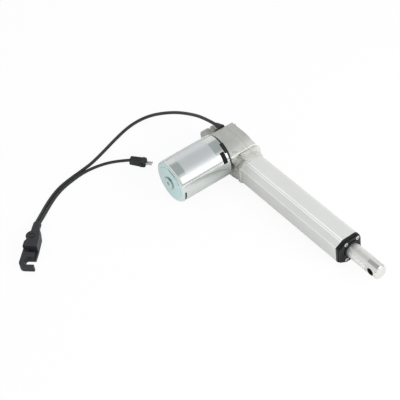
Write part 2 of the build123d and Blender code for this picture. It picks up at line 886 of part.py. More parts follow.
def rod_end():
    """Solid end of the rod with a cross bore between two flats and a spigot in the tube."""
    outer = rod_diameter / 2
    half = rod_flat_width / 2
    flat_x = rod_seam_x + rod_flat_inset
    body = along_x(outer, rod_seam_x, rod_end_x)
    body = chamfer(body.faces().sort_by(Axis.X)[-1].edges(), rod_chamfer)
    body -= box(flat_x, rod_end_x, half, outer, -outer, outer)
    body -= box(flat_x, rod_end_x, -outer, -half, -outer, outer)
    body += along_x(outer - rod_wall, rod_seam_x - rod_end_spigot, rod_seam_x)
    return body - along_y(rod_bore / 2, -half, half, rod_bore_x, 0)


def drive_nut():
    """Nut on the spindle with two keys that run in the tube's keyways."""
    x1 = nut_x + nut_length
    outer = tube_bore / 2 - nut_clearance
    half = key_width / 2
    reach = outer + key_height
    body = along_x(outer, nut_x, x1)
    body += box(nut_x, x1, -half, half, -reach, reach)
    body -= along_x(spindle_diameter / 2 + guide_tip_clearance, nut_x, x1)
    return body - along_x(rod_diameter / 2, rod_start_x, x1)


def cable_gland():
    """Moulded gland on the rear face with a tapered boot along the cord."""
    base = box(rear_x - gland_thickness, rear_x, gland_near_y, gland_far_y, gland_bottom_z, top_z)
    base = fillet(base.edges().filter_by(Axis.X), edge_round)
    tip = Vector(*main_route[0])
    away = (Vector(*main_route[1]) - tip).normalized()
    root = tip - away * ((rear_x - gland_thickness / 2 - tip.X) / -away.X)
    length = (tip - root).length
    boot = Cone(boot_base_radius, boot_tip_radius, length, align=(Align.CENTER, Align.CENTER, Align.MIN))
    return base + Plane(origin=root, z_dir=away) * boot


def cord(points, radius, name):
    """Round cord along straight runs joined by tangent arcs."""
    places = [Vector(*p) for p in points]
    runs = [b - a for a, b in zip(places, places[1:])]
    radii = []
    for before, after in zip(runs, runs[1:]):
        half_turn = math.radians(before.get_angle(after)) / 2
        radii.append(0.45 * min(before.length, after.length) / math.tan(half_turn))
    path = FilletPolyline(*places, radius=radii)
    section = Plane(origin=path @ 0, z_dir=path % 0) * Circle(radius)
    solid = sweep(section, path=path)
    expected = math.pi * radius**2 * path.length
    print(name, "radii", [round(r, 1) for r in radii])
    print(name, "length", round(path.length, 1), "volume share", round(solid.volume / expected, 4))
    return solid


def plug_frame():
    """Place of the small plug, lying on the floor with its pins ahead."""
    return Pos(plug_x, plug_y, floor_z) * Rot(0, 0, plug_angle)


def plug_body():
    """Small two-pin plug, wider towards the pins, with side wings and two ridges on its top."""
    half = plug_width / 2
    outline = Polyline(
        (0, plug_taper - half),
        (plug_length, -half),
        (plug_length, half),
        (0, half - plug_taper),
        close=True,
    )
    body = extrude(make_face(outline), plug_height)
    body = fillet(body.edges().filter_by(Axis.Z), edge_round)
    body = fillet(body.faces().sort_by(Axis.Z)[-1].edges(), edge_round / 2)
    wing_x = plug_length - plug_wing_inset
    reach = half + plug_wing_reach
    wing = box(wing_x, wing_x + plug_wing_length, -reach, reach, edge_round, plug_height - edge_round)
    body += wing
    for side in (-0.5, 0.5):
        y = side * pin_spacing
        body += box(
            edge_round,
            wing_x,
            y - plug_ridge_width / 2,
            y + plug_ridge_width / 2,
            plug_height - edge_round,
            plug_height + plug_ridge_height,
        )
        body -= along_x(pin_radius, plug_length - pin_depth, plug_length, y, plug_height / 2)
    return plug_frame() * body


def plug_pins():
    """Two round contact pins of the small plug."""
    x0 = plug_length - pin_depth
    x1 = plug_length + pin_length
    return [
        plug_frame() * along_x(pin_radius, x0, x1, side * pin_spacing, plug_height / 2)
        for side in (-0.5, 0.5)
    ]


def connector_frame():
    """Place of the hooked connector, lying on the floor with its cords behind."""
    return Pos(connector_x, connector_y, floor_z) * Rot(0, 0, connector_angle)


def connector_head():
    """High part of the connector: neck, round head and the block up to the pocket."""
    neck_x = boot_start + boot_length
    outline = Polyline(
        (neck_x, neck_left),
        (neck_bend, neck_left),
        head_notch,
        (cheek_start, connector_left),
        (pocket_start, connector_left),
        (pocket_start, connector_right),
        shoulder_place,
        (neck_x, neck_right),
        close=True,
    )
    face = make_face(outline) + Pos(*head_place) * Circle(head_radius)
    head = extrude(face, connector_height)
    return chamfer(head.faces().sort_by(Axis.Z)[-1].edges(), edge_round / 4)


def connector_hook():
    """Low part of the connector, ending in a J-shaped hook."""
    low = (Align.MIN, Align.MIN)
    width = hook_tip - connector_left
    inner = connector_left + left_wall
    block = Pos(pocket_start, connector_left) * Rectangle(hook_end - pocket_start, width, align=low)
    corner = block.vertices().sort_by(Axis.Y)[:2].sort_by(Axis.X)[-1]
    block = fillet(corner, hook_outer_round)
    gap = Pos(body_end, inner) * Rectangle(hook_end - hook_thickness - body_end, width, align=low)
    gap = fillet(gap.vertices().sort_by(Axis.Y)[:2], hook_inner_round)
    side = Rectangle(body_end - pocket_start, width, align=low)
    hook = extrude(block - gap - Pos(pocket_start, connector_right) * side, hook_height)
    return fillet(hook.faces().sort_by(Axis.Z)[-1].edges(), edge_round / 2)


def connector_body():
    """Flat moulded connector with an open pocket beside a tongue and a hook at its far end."""
    inner = connector_left + left_wall
    body = connector_head() + connector_hook()
    body -= box(pocket_start, tongue_start, inner, connector_right, pocket_floor, connector_height)
    body -= box(tongue_start, body_end, tongue_far, connector_right, pocket_floor, connector_height)
    up = (Align.CENTER, Align.CENTER, Align.MIN)
    hole = Cylinder(latch_hole_radius, connector_height, align=up)
    body -= Pos(*latch_hole_place, pocket_floor) * hole
    return connector_frame() * body


def connector_boot():
    """Rounded strain relief of the hooked connector, round the two cords."""
    boot = along_x(boot_radius, boot_start, boot_start + boot_length, boot_offset, connector_rise)
    return connector_frame() * fillet(boot.edges().filter_by(GeomType.CIRCLE), boot_round)


def connector_knob():
    """Raised ring on the head of the hooked connector."""
    up = (Align.CENTER, Align.CENTER, Align.MIN)
    ring = Cylinder(key_radius, key_thickness, align=up)
    ring -= Cylinder(key_radius - key_wall, key_thickness, align=up)
    return connector_frame() * Pos(*head_place, connector_height) * ring


def entry(side):
    """End of a cord inside the connector's boot."""
    place = connector_frame() * Pos(cord_entry_depth, side * cord_entry_offset, connector_rise)
    return tuple(place.position)


def main_cord():
    """Cord from the gland to the hooked connector."""
    return cord(main_route + [entry(-1)], cord_radius, "main cord")


def plug_cord():
    """Cord from the small plug to the hooked connector."""
    start = plug_frame() * Pos(0, 0, plug_height / 2)
    points = [tuple(start.position)] + plug_route + [entry(1)]
    return cord(points, plug_cord_radius, "plug cord")


parts = {
    "gear_housing": gear_housing(),
    "gear_cover": gear_cover(),
    "cover_screws": cover_screws(),
    "outer_tube": outer_tube(),
    "guide_bush": guide_bush(),
    "end_cap": end_cap(),
    "wiper_seal": wiper_seal(),
    "cap_screws": cap_screws(),
    "switch_strip": switch_strip(),
    "limit_switches": limit_switches(),
    "spindle_rear_bearing": ball_bearing(rear_bearing_x),
    "spindle_front_bearing": ball_bearing(front_bearing_x),
    "worm_end_bush": end_bush(),
    "spindle": spindle(),
    "spindle_guide": spindle_guide(),
    "retaining_ring": retaining_ring(),
    "worm_wheel": worm_wheel(),
    "worm": worm(),
    "motor_shaft": motor_shaft(),
    "armature_core": armature_core(),
    "armature_windings": armature_windings(),
    "commutator": commutator(),
    "motor_can": motor_can(),
    "motor_magnets": motor_magnets(),
    "motor_end_bell": motor_end_bell(),
    "motor_brushes": motor_brushes(),
    "motor_screws": motor_screws(),
    "motor_front_bearing": motor_front_bearing(),
    "motor_rear_bush": motor_rear_bush(),
    "push_rod": push_rod(),
    "rod_end": rod_end(),
    "drive_nut": drive_nut(),
    "cable_gland": cable_gland(),
    "main_cord": main_cord(),
    "plug_cord": plug_cord(),
    "plug_body": plug_body(),
    "plug_pins": plug_pins(),
    "connector_body": connector_body(),
    "connector_boot": connector_boot(),
    "connector_knob": connector_knob(),
}

os.makedirs("parts", exist_ok=True)
for name, solids in parts.items():
    shape = Compound(children=solids) if isinstance(solids, list) else solids
    export_step(shape, f"parts/{name}.step")
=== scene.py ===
import bpy
import math
from bpy.props import FloatProperty, FloatVectorProperty, PointerProperty
from bpy.types import Operator, Panel, PropertyGroup
from mathutils import Matrix, Vector


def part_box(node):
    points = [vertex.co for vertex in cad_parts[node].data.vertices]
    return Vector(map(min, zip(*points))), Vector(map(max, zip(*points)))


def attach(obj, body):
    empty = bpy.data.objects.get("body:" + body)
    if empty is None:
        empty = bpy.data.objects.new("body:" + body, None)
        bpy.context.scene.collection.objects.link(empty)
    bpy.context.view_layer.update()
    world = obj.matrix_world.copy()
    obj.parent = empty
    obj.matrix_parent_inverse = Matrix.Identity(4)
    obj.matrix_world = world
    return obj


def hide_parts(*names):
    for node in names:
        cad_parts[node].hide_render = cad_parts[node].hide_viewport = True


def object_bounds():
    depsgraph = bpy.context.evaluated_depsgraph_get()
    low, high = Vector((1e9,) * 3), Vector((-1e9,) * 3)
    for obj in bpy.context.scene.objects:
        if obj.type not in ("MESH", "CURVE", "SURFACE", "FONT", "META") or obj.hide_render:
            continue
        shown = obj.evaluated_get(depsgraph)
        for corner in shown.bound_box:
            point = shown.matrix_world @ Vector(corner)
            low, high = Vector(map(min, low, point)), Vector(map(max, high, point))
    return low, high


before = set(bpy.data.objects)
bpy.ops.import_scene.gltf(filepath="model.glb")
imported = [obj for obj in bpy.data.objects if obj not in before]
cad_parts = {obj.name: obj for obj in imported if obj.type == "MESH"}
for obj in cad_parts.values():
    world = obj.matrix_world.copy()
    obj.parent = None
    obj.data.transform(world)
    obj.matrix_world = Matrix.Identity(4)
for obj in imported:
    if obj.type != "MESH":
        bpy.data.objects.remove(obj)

bl_info = {
    "name": "Linear actuator looks",
    "version": (1, 0, 0),
    "blender": (4, 5, 0),
    "location": "3D View > Sidebar > Actuator",
    "description": "Finishes, cords, label and studio of an electric linear actuator",
    "category": "Object",
}

# Places that the pieces share, in metres: the motor's axis and the surface under the actuator
MOTOR_X = sum(corner[0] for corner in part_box("motor_can")) / 2
MOTOR_Z = sum(corner[2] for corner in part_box("motor_can")) / 2
MOTOR_RADIUS = (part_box("motor_can")[1][0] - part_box("motor_can")[0][0]) / 2
FLOOR_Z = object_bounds()[0][2]

# Brightness of the room by the height of the direction looked in, from the horizon to straight up
ROOM = [
    (0.02, (0.16, 0.18, 0.18, 1)),
    (0.09, (0.86, 0.88, 0.88, 1)),
    (0.71, (0.86, 0.87, 0.87, 1)),
    (0.78, (0.44, 0.47, 0.47, 1)),
]

# Soft lights: name, place, what they aim at, size in metres, power in watts, and if reflections show them
LIGHTS = [
    ("overhead", (0.1, -0.3, 1.2), (0.1, -0.08, 0), 1.0, 3, False),
    ("front", (1.35, 0.48, 0.7), (0.05, -0.07, 0.03), 0.9, 16, False),
    ("screen", (1.35, 0.50, 0.6), (0.05, -0.07, 0.03), 0.75, 1.6, True),
]

# Share of the floor's seen brightness that doesn't depend on the lamps, and its width in metres
FLOOR_GLOW = 0.92
FLOOR_WIDTH = 8

# Camera: lens in millimetres, place in metres, and the directions of the picture's right and top
LENS = 107.127
CAMERA_PLACE = (1.05627, -0.63928, 1.07627)
CAMERA_RIGHT = (0.58371, 0.80408, -0.11285)
CAMERA_UP = (-0.51882, 0.47626, 0.70993)
CAMERA_REACH = 20

# Edges of the tube with painted highlight lines: the height and the place across from which each one runs
TUBE_EDGES = [(0.0112, -0.0207), (0.0161, -0.0124), (0.0176, -0.0105)]
EDGE_WIDTH = 0.0005

# Bare label on the can: its ends along the motor, and its lower edge above the motor's axis, in metres
LABEL_ENDS = (-0.0945, -0.0460)
LABEL_SIDE = 0.0235

# Start of the can's closed end along the motor, and the tint of its passivated plate
CAN_END = -0.1080
END_TINT = (0.58, 0.78, 0.78)

# Ring painted darker round the boss of the closed end: its radii in metres
DARK_RING_RADII = (0.0078, 0.0100)

# Places along the rod between which a painted highlight rises on the casting, where its scuffs begin, and
# far side of its scuffs, in metres
PAINTED_HIGHLIGHT_AND_SCUFF_ENDS = (0.0500, 0.0670)
SCUFF_SIDE = -0.0060

# Both sides of the seam between the gearbox's halves, where shade in the joint is painted, in metres
SEAM_ENDS = (0.0054, 0.0060)

# Cross bore of the rod, painted dark as shade: its distance from the rod's tip and its radius with a little
# to spare, in metres
BORE_INSET = 0.0095
BORE_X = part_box("rod_end")[1][0] - BORE_INSET
BORE_RADIUS = 0.00515

# Dark sheet behind the can's window, standing in for the shade inside the motor: ends along the motor,
# radius, wall, and angles from straight up
SHADE_SHEET_ENDS = (-0.0448, -0.0350)
SHADE_SHEET_INSET = 0.0021
SHADE_SHEET_RADIUS = MOTOR_RADIUS - SHADE_SHEET_INSET
SHADE_SHEET_WALL = 0.0004
SHADE_SHEET_ANGLES = (38.0, 79.0)
SHADE_SHEET_SIDES = 144

# Steps of a cord between two guiding points, and of a quarter of its round section
CORD_STEPS = 16
CORD_ROUND_STEPS = 6

# Route of each cord, from the gland and from the small plug to the hooked connector
MAIN_ROUTE = [
    (0.0092, 0.0006, 0.0254),
    (-0.0186, -0.0010, 0.0220),
    (-0.0524, -0.0044, 0.0100),
    (-0.0805, -0.0128, 0.0000),
    (-0.1050, -0.0281, -0.0100),
    (-0.1160, -0.0436, -0.0156),
    (-0.1176, -0.0651, -0.0177),
    (-0.1094, -0.0923, -0.0177),
    (-0.0982, -0.1207, -0.0177),
    (-0.0882, -0.1484, -0.0177),
    (-0.0850, -0.1673, -0.0177),
    (-0.0817, -0.1899, -0.0177),
    (-0.0769, -0.2093, -0.0177),
    (-0.0682, -0.2268, -0.0177),
    (-0.0576, -0.2426, -0.0173),
    (-0.0456, -0.2566, -0.0152),
    (-0.0344, -0.2708, -0.0134),
]
PLUG_ROUTE = [
    (-0.0548, -0.1058, -0.0160),
    (-0.0652, -0.1174, -0.0172),
    (-0.0736, -0.1314, -0.0179),
    (-0.0784, -0.1476, -0.0179),
    (-0.0804, -0.1668, -0.0179),
    (-0.0771, -0.1886, -0.0179),
    (-0.0724, -0.2074, -0.0179),
    (-0.0642, -0.2240, -0.0179),
    (-0.0536, -0.2394, -0.0174),
    (-0.0422, -0.2528, -0.0152),
    (-0.0310, -0.2673, -0.0134),
]


def colour_property(name, description, default):
    """Colour setting with its default."""
    return FloatVectorProperty(
        name=name, description=description, subtype="COLOR", size=3, min=0, max=1, default=default
    )


def length_property(name, description, default):
    """Length setting in metres."""
    return FloatProperty(name=name, description=description, default=default, min=0, unit="LENGTH")


class ActuatorSizes(PropertyGroup):
    """Sizes of the pieces that are modelled here."""

    main_cord: length_property("Main cord", "Diameter of the cord from the gland", 0.0046)
    plug_cord: length_property("Plug cord", "Diameter of the cord to the small plug", 0.0042)


class ActuatorColours(PropertyGroup):
    """Colours of the finishes."""

    casting: colour_property("Casting", "Die-cast gearbox", (0.52, 0.515, 0.485))
    extrusion: colour_property("Extrusion", "Satin anodised tube", (0.74, 0.735, 0.715))
    zinc: colour_property("Zinc plate", "Plated motor can", (0.75, 0.78, 0.76))
    label: colour_property("Label", "Bare foil label on the can", (0.70, 0.71, 0.72))
    steel: colour_property("Steel", "Bright steel", (0.66, 0.66, 0.66))
    rod: colour_property("Rod", "Hard chromed push rod", (0.80, 0.785, 0.765))
    plastic: colour_property("Black plastic", "Cap, gland and connectors", (0.012, 0.012, 0.013))
    sheath: colour_property("Cord sheath", "Rubber of the cords", (0.016, 0.016, 0.017))


class Value:
    """A number that changes over a surface, held as the socket that gives it."""

    def __init__(self, finish, socket):
        self.finish = finish
        self.socket = socket

    def combine(self, operation, first, second):
        made = self.finish.node("ShaderNodeMath", {"operation": operation}, {0: first, 1: second})
        return Value(self.finish, made.outputs[0])

    def __add__(self, other):
        return self.combine("ADD", self, other)

    def __radd__(self, other):
        return self.combine("ADD", other, self)

    def __sub__(self, other):
        return self.combine("SUBTRACT", self, other)

    def __rsub__(self, other):
        return self.combine("SUBTRACT", other, self)

    def __mul__(self, other):
        return self.combine("MULTIPLY", self, other)

    def __rmul__(self, other):
        return self.combine("MULTIPLY", other, self)

    def __gt__(self, other):
        return self.combine("GREATER_THAN", self, other)

    def __lt__(self, other):
        return self.combine("LESS_THAN", self, other)


class Finish:
    """Material of one finish, built from nodes."""

    def __init__(self, name):
        self.material = bpy.data.materials.new(name)
        self.material.use_nodes = True
        self.tree = self.material.node_tree
        self.shader = self.tree.nodes["Principled BSDF"]

    def node(self, kind, settings=None, sockets=None):
        """Adds a node: its settings first, then the values or links of its sockets."""
        made = self.tree.nodes.new(kind)
        for key, setting in (settings or {}).items():
            setattr(made, key, setting)
        self.fill(made, sockets or {})
        return made

    def fill(self, made, sockets):
        """Links or sets the sockets of a node."""
        for key, value in sockets.items():
            source = value.socket if isinstance(value, Value) else value
            if isinstance(source, bpy.types.NodeSocket):
                self.tree.links.new(source, made.inputs[key])
            else:
                made.inputs[key].default_value = source

    def place(self, scale=(1, 1, 1)):
        """Object coordinates, stretched."""
        coordinates = self.node("ShaderNodeTexCoord").outputs["Object"]
        sockets = {"Vector": coordinates, "Scale": scale}
        return self.node("ShaderNodeMapping", None, sockets).outputs["Vector"]

    def axes(self):
        """The three object coordinates as numbers."""
        split = self.node("ShaderNodeSeparateXYZ", None, {"Vector": self.place()})
        return [Value(self, socket) for socket in split.outputs]

    def noise(self, scale, detail=2.0, stretch=(1, 1, 1)):
        """Soft random pattern, with its scale in waves per metre."""
        sockets = {"Vector": self.place(stretch), "Scale": scale, "Detail": detail}
        return Value(self, self.node("ShaderNodeTexNoise", None, sockets).outputs["Fac"])

    def rise(self, value, start, end):
        """Share that rises from 0 to 1 between two values."""
        sockets = {"Value": value, "From Min": start, "From Max": end}
        return Value(self, self.node("ShaderNodeMapRange", None, sockets).outputs["Result"])

    def blend(self, share, low, high):
        """Colour between two others."""
        ends = [end if isinstance(end, bpy.types.NodeSocket) else (*end, 1) for end in (low, high)]
        sockets = {"Factor": share, 6: ends[0], 7: ends[1]}
        return self.node("ShaderNodeMix", {"data_type": "RGBA"}, sockets).outputs[2]

    def bump(self, height, strength, distance):
        """Relief of the surface."""
        sockets = {"Height": height, "Strength": strength, "Distance": distance}
        return self.node("ShaderNodeBump", None, sockets).outputs["Normal"]

    def surface(self, **sockets):
        """Sets the sockets of the surface shader, named with underscores."""
        self.fill(self.shader, {key.replace("_", " "): value for key, value in sockets.items()})
        return self.material


def shade(colour, share):
    """Colour made darker or lighter."""
    return tuple(min(1.0, part * share) for part in colour)


def cast_metal(colour):
    """Die-cast aluminium: slightly grainy, with a painted highlight and scuffs towards the tube, and painted
    shade along the seam.
    """
    finish = Finish("cast_aluminium")
    flow = finish.noise(90, 3)
    grain = finish.noise(2200, 2)
    blast = finish.noise(45, 4, (1, 0.35, 1))
    x, y, _ = finish.axes()
    # Painted highlight on the casting, rising towards the tube; the scuffs inside it are real marks
    painted_highlight = finish.rise(x, *PAINTED_HIGHLIGHT_AND_SCUFF_ENDS) * (0.2 + 0.9 * blast)
    scuffs = (x > PAINTED_HIGHLIGHT_AND_SCUFF_ENDS[1]) * (y < SCUFF_SIDE) * (finish.noise(400, 3, (1, 0.5, 1)) > 0.56)
    satin = finish.blend(flow, shade(colour, 0.84), shade(colour, 1.12))
    # Lighter copies of the casting's colour for the painted highlight
    lit = finish.blend(flow, shade(colour, 1.35), shade(colour, 1.8))
    lit = finish.blend(0.5 * scuffs, lit, shade(colour, 0.5))
    # Painted shade along the seam between the gearbox's halves
    seam_shade = (y > SEAM_ENDS[0]) * (y < SEAM_ENDS[1])
    cast = finish.blend(painted_highlight, satin, lit)
    return finish.surface(
        Base_Color=finish.blend(0.55 * seam_shade, cast, shade(colour, 0.45)),
        Metallic=0.6,
        Roughness=0.27 + 0.16 * grain,
        Normal=finish.bump(grain + 3.0 * flow, 0.4, 0.0005),
    )


def anodised_metal(colour):
    """Satin anodised extrusion with fine die lines along its length and painted highlights along its edges.
    """
    finish = Finish("anodised_aluminium")
    lines = finish.noise(2600, 1, (0.004, 1, 1))
    cloud = finish.noise(25, 2)
    _, y, z = finish.axes()
    # Painted highlight lines where the tube's edges would catch the light
    edge_highlights = 0.0
    for low, side in TUBE_EDGES:
        edge_highlights = edge_highlights + (z > low) * (z < low + EDGE_WIDTH) * (y > side) * (y < side + 3 * EDGE_WIDTH)
    satin = finish.blend(cloud, shade(colour, 0.95), shade(colour, 1.05))
    return finish.surface(
        Base_Color=finish.blend(edge_highlights, satin, (1.0, 1.0, 0.99)),
        Metallic=0.45 - 0.3 * edge_highlights,
        Roughness=0.36 + 0.1 * lines,
        Normal=finish.bump(lines, 0.08, 0.0001),
    )


def plated_metal(colour, label):
    """Zinc plated, polished steel with a tinted closed end and a bare foil label on its top."""
    finish = Finish("zinc_plate")
    cloud = finish.noise(60, 3)
    marks = finish.noise(900, 2, (1, 0.03, 1))
    x, y, z = finish.axes()
    on_label = (y > LABEL_ENDS[0]) * (y < LABEL_ENDS[1]) * (x < MOTOR_X + LABEL_SIDE) * (z > MOTOR_Z)
    plate = finish.blend(cloud, shade(colour, 0.9), shade(colour, 1.06))
    plate = finish.blend((y < CAN_END) * (0.5 + 0.5 * cloud), plate, END_TINT)
    round_axis = (x - MOTOR_X) * (x - MOTOR_X) + (z - MOTOR_Z) * (z - MOTOR_Z)
    # Ring painted darker round the boss of the closed end
    dark_ring = (round_axis > DARK_RING_RADII[0] ** 2) * (round_axis < DARK_RING_RADII[1] ** 2) * (y < CAN_END)
    plate = finish.blend(dark_ring * finish.noise(220, 3), plate, shade(END_TINT, 0.3))
    return finish.surface(
        Base_Color=finish.blend(on_label, plate, label),
        Metallic=1.0 - 0.25 * on_label,
        Roughness=0.13 + 0.08 * marks + 0.16 * on_label,
        Normal=finish.bump(marks, 0.05, 0.0001),
    )


def bright_metal(name, colour, roughness, stretch):
    """Turned or ground steel, with its marks round or along the piece."""
    finish = Finish(name)
    marks = finish.noise(3000, 1, stretch)
    return finish.surface(
        Base_Color=finish.blend(marks, shade(colour, 0.92), shade(colour, 1.05)),
        Metallic=1.0,
        Roughness=roughness + 0.1 * marks,
        Normal=finish.bump(marks, 0.06, 0.0001),
    )


def bored_metal(colour):
    """Polished steel of the rod's end, with its cross bore dull and painted dark as shade, a little past its
    rim.
    """
    finish = Finish("rod_end_metal")
    marks = finish.noise(3000, 1, (1, 0.05, 0.05))
    x, _, z = finish.axes()
    # Painted shade inside the cross bore and just round its rim
    bore_shade = (x - BORE_X) * (x - BORE_X) + z * z < BORE_RADIUS * BORE_RADIUS
    polished = finish.blend(marks, shade(colour, 0.9), shade(colour, 1.05))
    return finish.surface(
        Base_Color=finish.blend(bore_shade, polished, (0.05, 0.05, 0.05)),
        Metallic=1.0 - 0.5 * bore_shade,
        Roughness=0.08 + 0.06 * marks + 0.5 * bore_shade,
        Normal=finish.bump(marks, 0.05, 0.0001),
    )


def moulded_plastic(name, colour, roughness):
    """Moulded plastic with a fine spark-eroded grain."""
    finish = Finish(name)
    grain = finish.noise(3500, 2)
    cloud = finish.noise(70, 2)
    return finish.surface(
        Base_Color=finish.blend(cloud, shade(colour, 0.8), shade(colour, 1.25)),
        Roughness=roughness + 0.14 * grain,
        Specular_IOR_Level=0.28,
        Normal=finish.bump(grain, 0.25, 0.0001),
    )


def dress(material, *nodes):
    """Gives CAD nodes a finish."""
    for name in nodes:
        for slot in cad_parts[name].material_slots:
            slot.material = material


def window_shade_sheet(material):
    """Dark sheet curved behind the window of the can, standing in for the shade inside the motor, in the end
    bell's black plastic.
    """
    bpy.ops.object.select_all(action="DESELECT")
    near, far = SHADE_SHEET_ENDS
    bpy.ops.mesh.primitive_cylinder_add(
        vertices=SHADE_SHEET_SIDES,
        radius=SHADE_SHEET_RADIUS,
        depth=far - near,
        end_fill_type="NOTHING",
        location=(0, 0, 0),
    )
    piece = bpy.context.object
    piece.name = "window_shade_sheet"
    bpy.ops.object.mode_set(mode="EDIT")
    bpy.ops.mesh.select_all(action="SELECT")
    bpy.ops.transform.rotate(value=math.pi / 2, orient_axis="X", center_override=(0, 0, 0))
    bpy.ops.transform.translate(value=(MOTOR_X, (near + far) / 2, MOTOR_Z))
    for angle, first in zip(SHADE_SHEET_ANGLES, (True, False)):
        turn = math.radians(angle)
        bpy.ops.mesh.select_all(action="SELECT")
        bpy.ops.mesh.bisect(
            plane_co=(MOTOR_X, 0, MOTOR_Z),
            plane_no=(math.cos(turn), 0, -math.sin(turn)),
            clear_inner=first,
            clear_outer=not first,
        )
    bpy.ops.object.mode_set(mode="OBJECT")
    wall = piece.modifiers.new("wall", "SOLIDIFY")
    wall.thickness = SHADE_SHEET_WALL
    wall.offset = -1
    bpy.ops.object.modifier_apply(modifier=wall.name)
    if not piece.data.polygons:
        raise RuntimeError("the window's lining has no faces")
    bpy.ops.object.shade_smooth()
    piece.data.materials.append(material)
    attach(piece, "housing")


def guided_curve(name, route):
    """Smooth curve that a route's points guide."""
    curve = bpy.data.curves.new(name, "CURVE")
    curve.dimensions = "3D"
    curve.resolution_u = CORD_STEPS
    spline = curve.splines.new("NURBS")
    spline.points.add(len(route) - 1)
    for point, place in zip(spline.points, route):
        point.co = (*place, 1)
    spline.order_u = 3
    spline.use_endpoint_u = True
    return curve


def run_cord(name, route, diameter, material, node):
    """Lays a cord as a smooth curve along its route."""
    curve = guided_curve(name, route)
    curve.bevel_depth = diameter / 2
    curve.bevel_resolution = CORD_ROUND_STEPS
    curve.use_fill_caps = True
    curve.materials.append(material)
    piece = bpy.data.objects.new(name, curve)
    bpy.context.collection.objects.link(piece)
    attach(piece, "housing")
    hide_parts(node)
    curve_length(route)


def curve_length(route):
    """Length of the smooth curve that a route's points guide."""
    curve = guided_curve("measure", route)
    holder = bpy.data.objects.new("measure", curve)
    line = bpy.data.meshes.new_from_object(holder)
    places = [vertex.co.copy() for vertex in line.vertices]
    bpy.data.objects.remove(holder)
    bpy.data.meshes.remove(line)
    bpy.data.curves.remove(curve)
    return sum((b - a).length for a, b in zip(places, places[1:]))


class ACTUATOR_OT_cords(Operator):
    """Lay the two cords and finish what hangs on them"""

    bl_idname = "actuator.cords"
    bl_label = "Cords and connectors"

    def execute(self, context):
        sizes = context.scene.actuator_sizes
        colours = context.scene.actuator_colours
        finish = Finish("cord_rubber")
        wear = finish.noise(300, 2)
        sheath = finish.surface(
            Base_Color=finish.blend(wear, shade(colours.sheath, 0.8), shade(colours.sheath, 1.3)),
            Roughness=0.3 + 0.15 * wear,
            Normal=finish.bump(wear, 0.1, 0.0001),
        )
        plastic = moulded_plastic("connector_plastic", shade(colours.plastic, 2.2), 0.36)
        pins = bright_metal("pin_metal", colours.steel, 0.18, (1, 1, 1))
        dress(plastic, "connector_body", "connector_boot", "connector_knob", "plug_body", "cable_gland")
        dress(pins, "plug_pins")
        run_cord("cord_main", MAIN_ROUTE, sizes.main_cord, sheath, "main_cord")
        run_cord("cord_plug", PLUG_ROUTE[::-1], sizes.plug_cord, sheath, "plug_cord")
        return {"FINISHED"}


class ACTUATOR_OT_gearbox(Operator):
    """Finish the gearbox castings and their screws"""

    bl_idname = "actuator.gearbox"
    bl_label = "Gearbox"

    def execute(self, context):
        colours = context.scene.actuator_colours
        dress(cast_metal(colours.casting), "gear_housing", "gear_cover")
        dress(bright_metal("cover_screw_metal", colours.steel, 0.25, (1, 1, 1)), "cover_screws")
        return {"FINISHED"}


class ACTUATOR_OT_tube(Operator):
    """Finish the tube, its cap and what is inside it"""

    bl_idname = "actuator.tube"
    bl_label = "Tube and cap"

    def execute(self, context):
        colours = context.scene.actuator_colours
        dress(anodised_metal(colours.extrusion), "outer_tube")
        dress(moulded_plastic("cap_plastic", shade(colours.plastic, 0.5), 0.26), "end_cap", "limit_switches")
        dress(moulded_plastic("wiper_rubber", shade(colours.plastic, 0.8), 0.6), "wiper_seal")
        dress(bright_metal("cap_screw_metal", colours.steel, 0.2, (1, 1, 1)), "cap_screws")
        acetal = moulded_plastic("acetal", (0.78, 0.78, 0.74), 0.35)
        dress(acetal, "guide_bush", "drive_nut", "spindle_guide", "worm_wheel")
        dress(moulded_plastic("strip_lacquer", (0.03, 0.22, 0.08), 0.3), "switch_strip")
        return {"FINISHED"}


class ACTUATOR_OT_rod(Operator):
    """Finish the push rod and its end"""

    bl_idname = "actuator.rod"
    bl_label = "Push rod"

    def execute(self, context):
        colours = context.scene.actuator_colours
        dress(bright_metal("rod_metal", shade(colours.rod, 1.14), 0.42, (1, 0.05, 0.05)), "push_rod")
        dress(bored_metal(colours.rod), "rod_end")
        return {"FINISHED"}


class ACTUATOR_OT_drive(Operator):
    """Finish the worm drive and its bearings"""

    bl_idname = "actuator.drive"
    bl_label = "Worm drive"

    def execute(self, context):
        colours = context.scene.actuator_colours
        steel = bright_metal("drive_steel", colours.steel, 0.25, (1, 0.1, 0.1))
        bronze = bright_metal("bush_bronze", (0.55, 0.33, 0.13), 0.3, (1, 1, 1))
        dress(steel, "spindle", "retaining_ring", "worm", "motor_shaft", "motor_screws")
        dress(steel, "spindle_rear_bearing", "spindle_front_bearing", "motor_front_bearing")
        dress(bronze, "worm_end_bush", "motor_rear_bush")
        return {"FINISHED"}


class ACTUATOR_OT_motor(Operator):
    """Finish the motor"""

    bl_idname = "actuator.motor"
    bl_label = "Motor"

    def execute(self, context):
        colours = context.scene.actuator_colours
        dress(plated_metal(colours.zinc, colours.label), "motor_can")
        bell = moulded_plastic("bell_plastic", colours.plastic, 0.45)
        dress(bell, "motor_end_bell")
        # Dark sheet behind the can's window, standing in for the shade inside the motor
        window_shade_sheet(bell)
        dress(moulded_plastic("ferrite", (0.06, 0.06, 0.065), 0.6), "motor_magnets")
        dress(bright_metal("core_laminations", (0.3, 0.3, 0.31), 0.4, (0.05, 1, 0.05)), "armature_core")
        copper = bright_metal("winding_copper", (0.62, 0.3, 0.16), 0.3, (0.1, 1, 0.1))
        dress(copper, "armature_windings", "commutator")
        dress(moulded_plastic("brush_carbon", (0.03, 0.03, 0.03), 0.5), "motor_brushes")
        return {"FINISHED"}


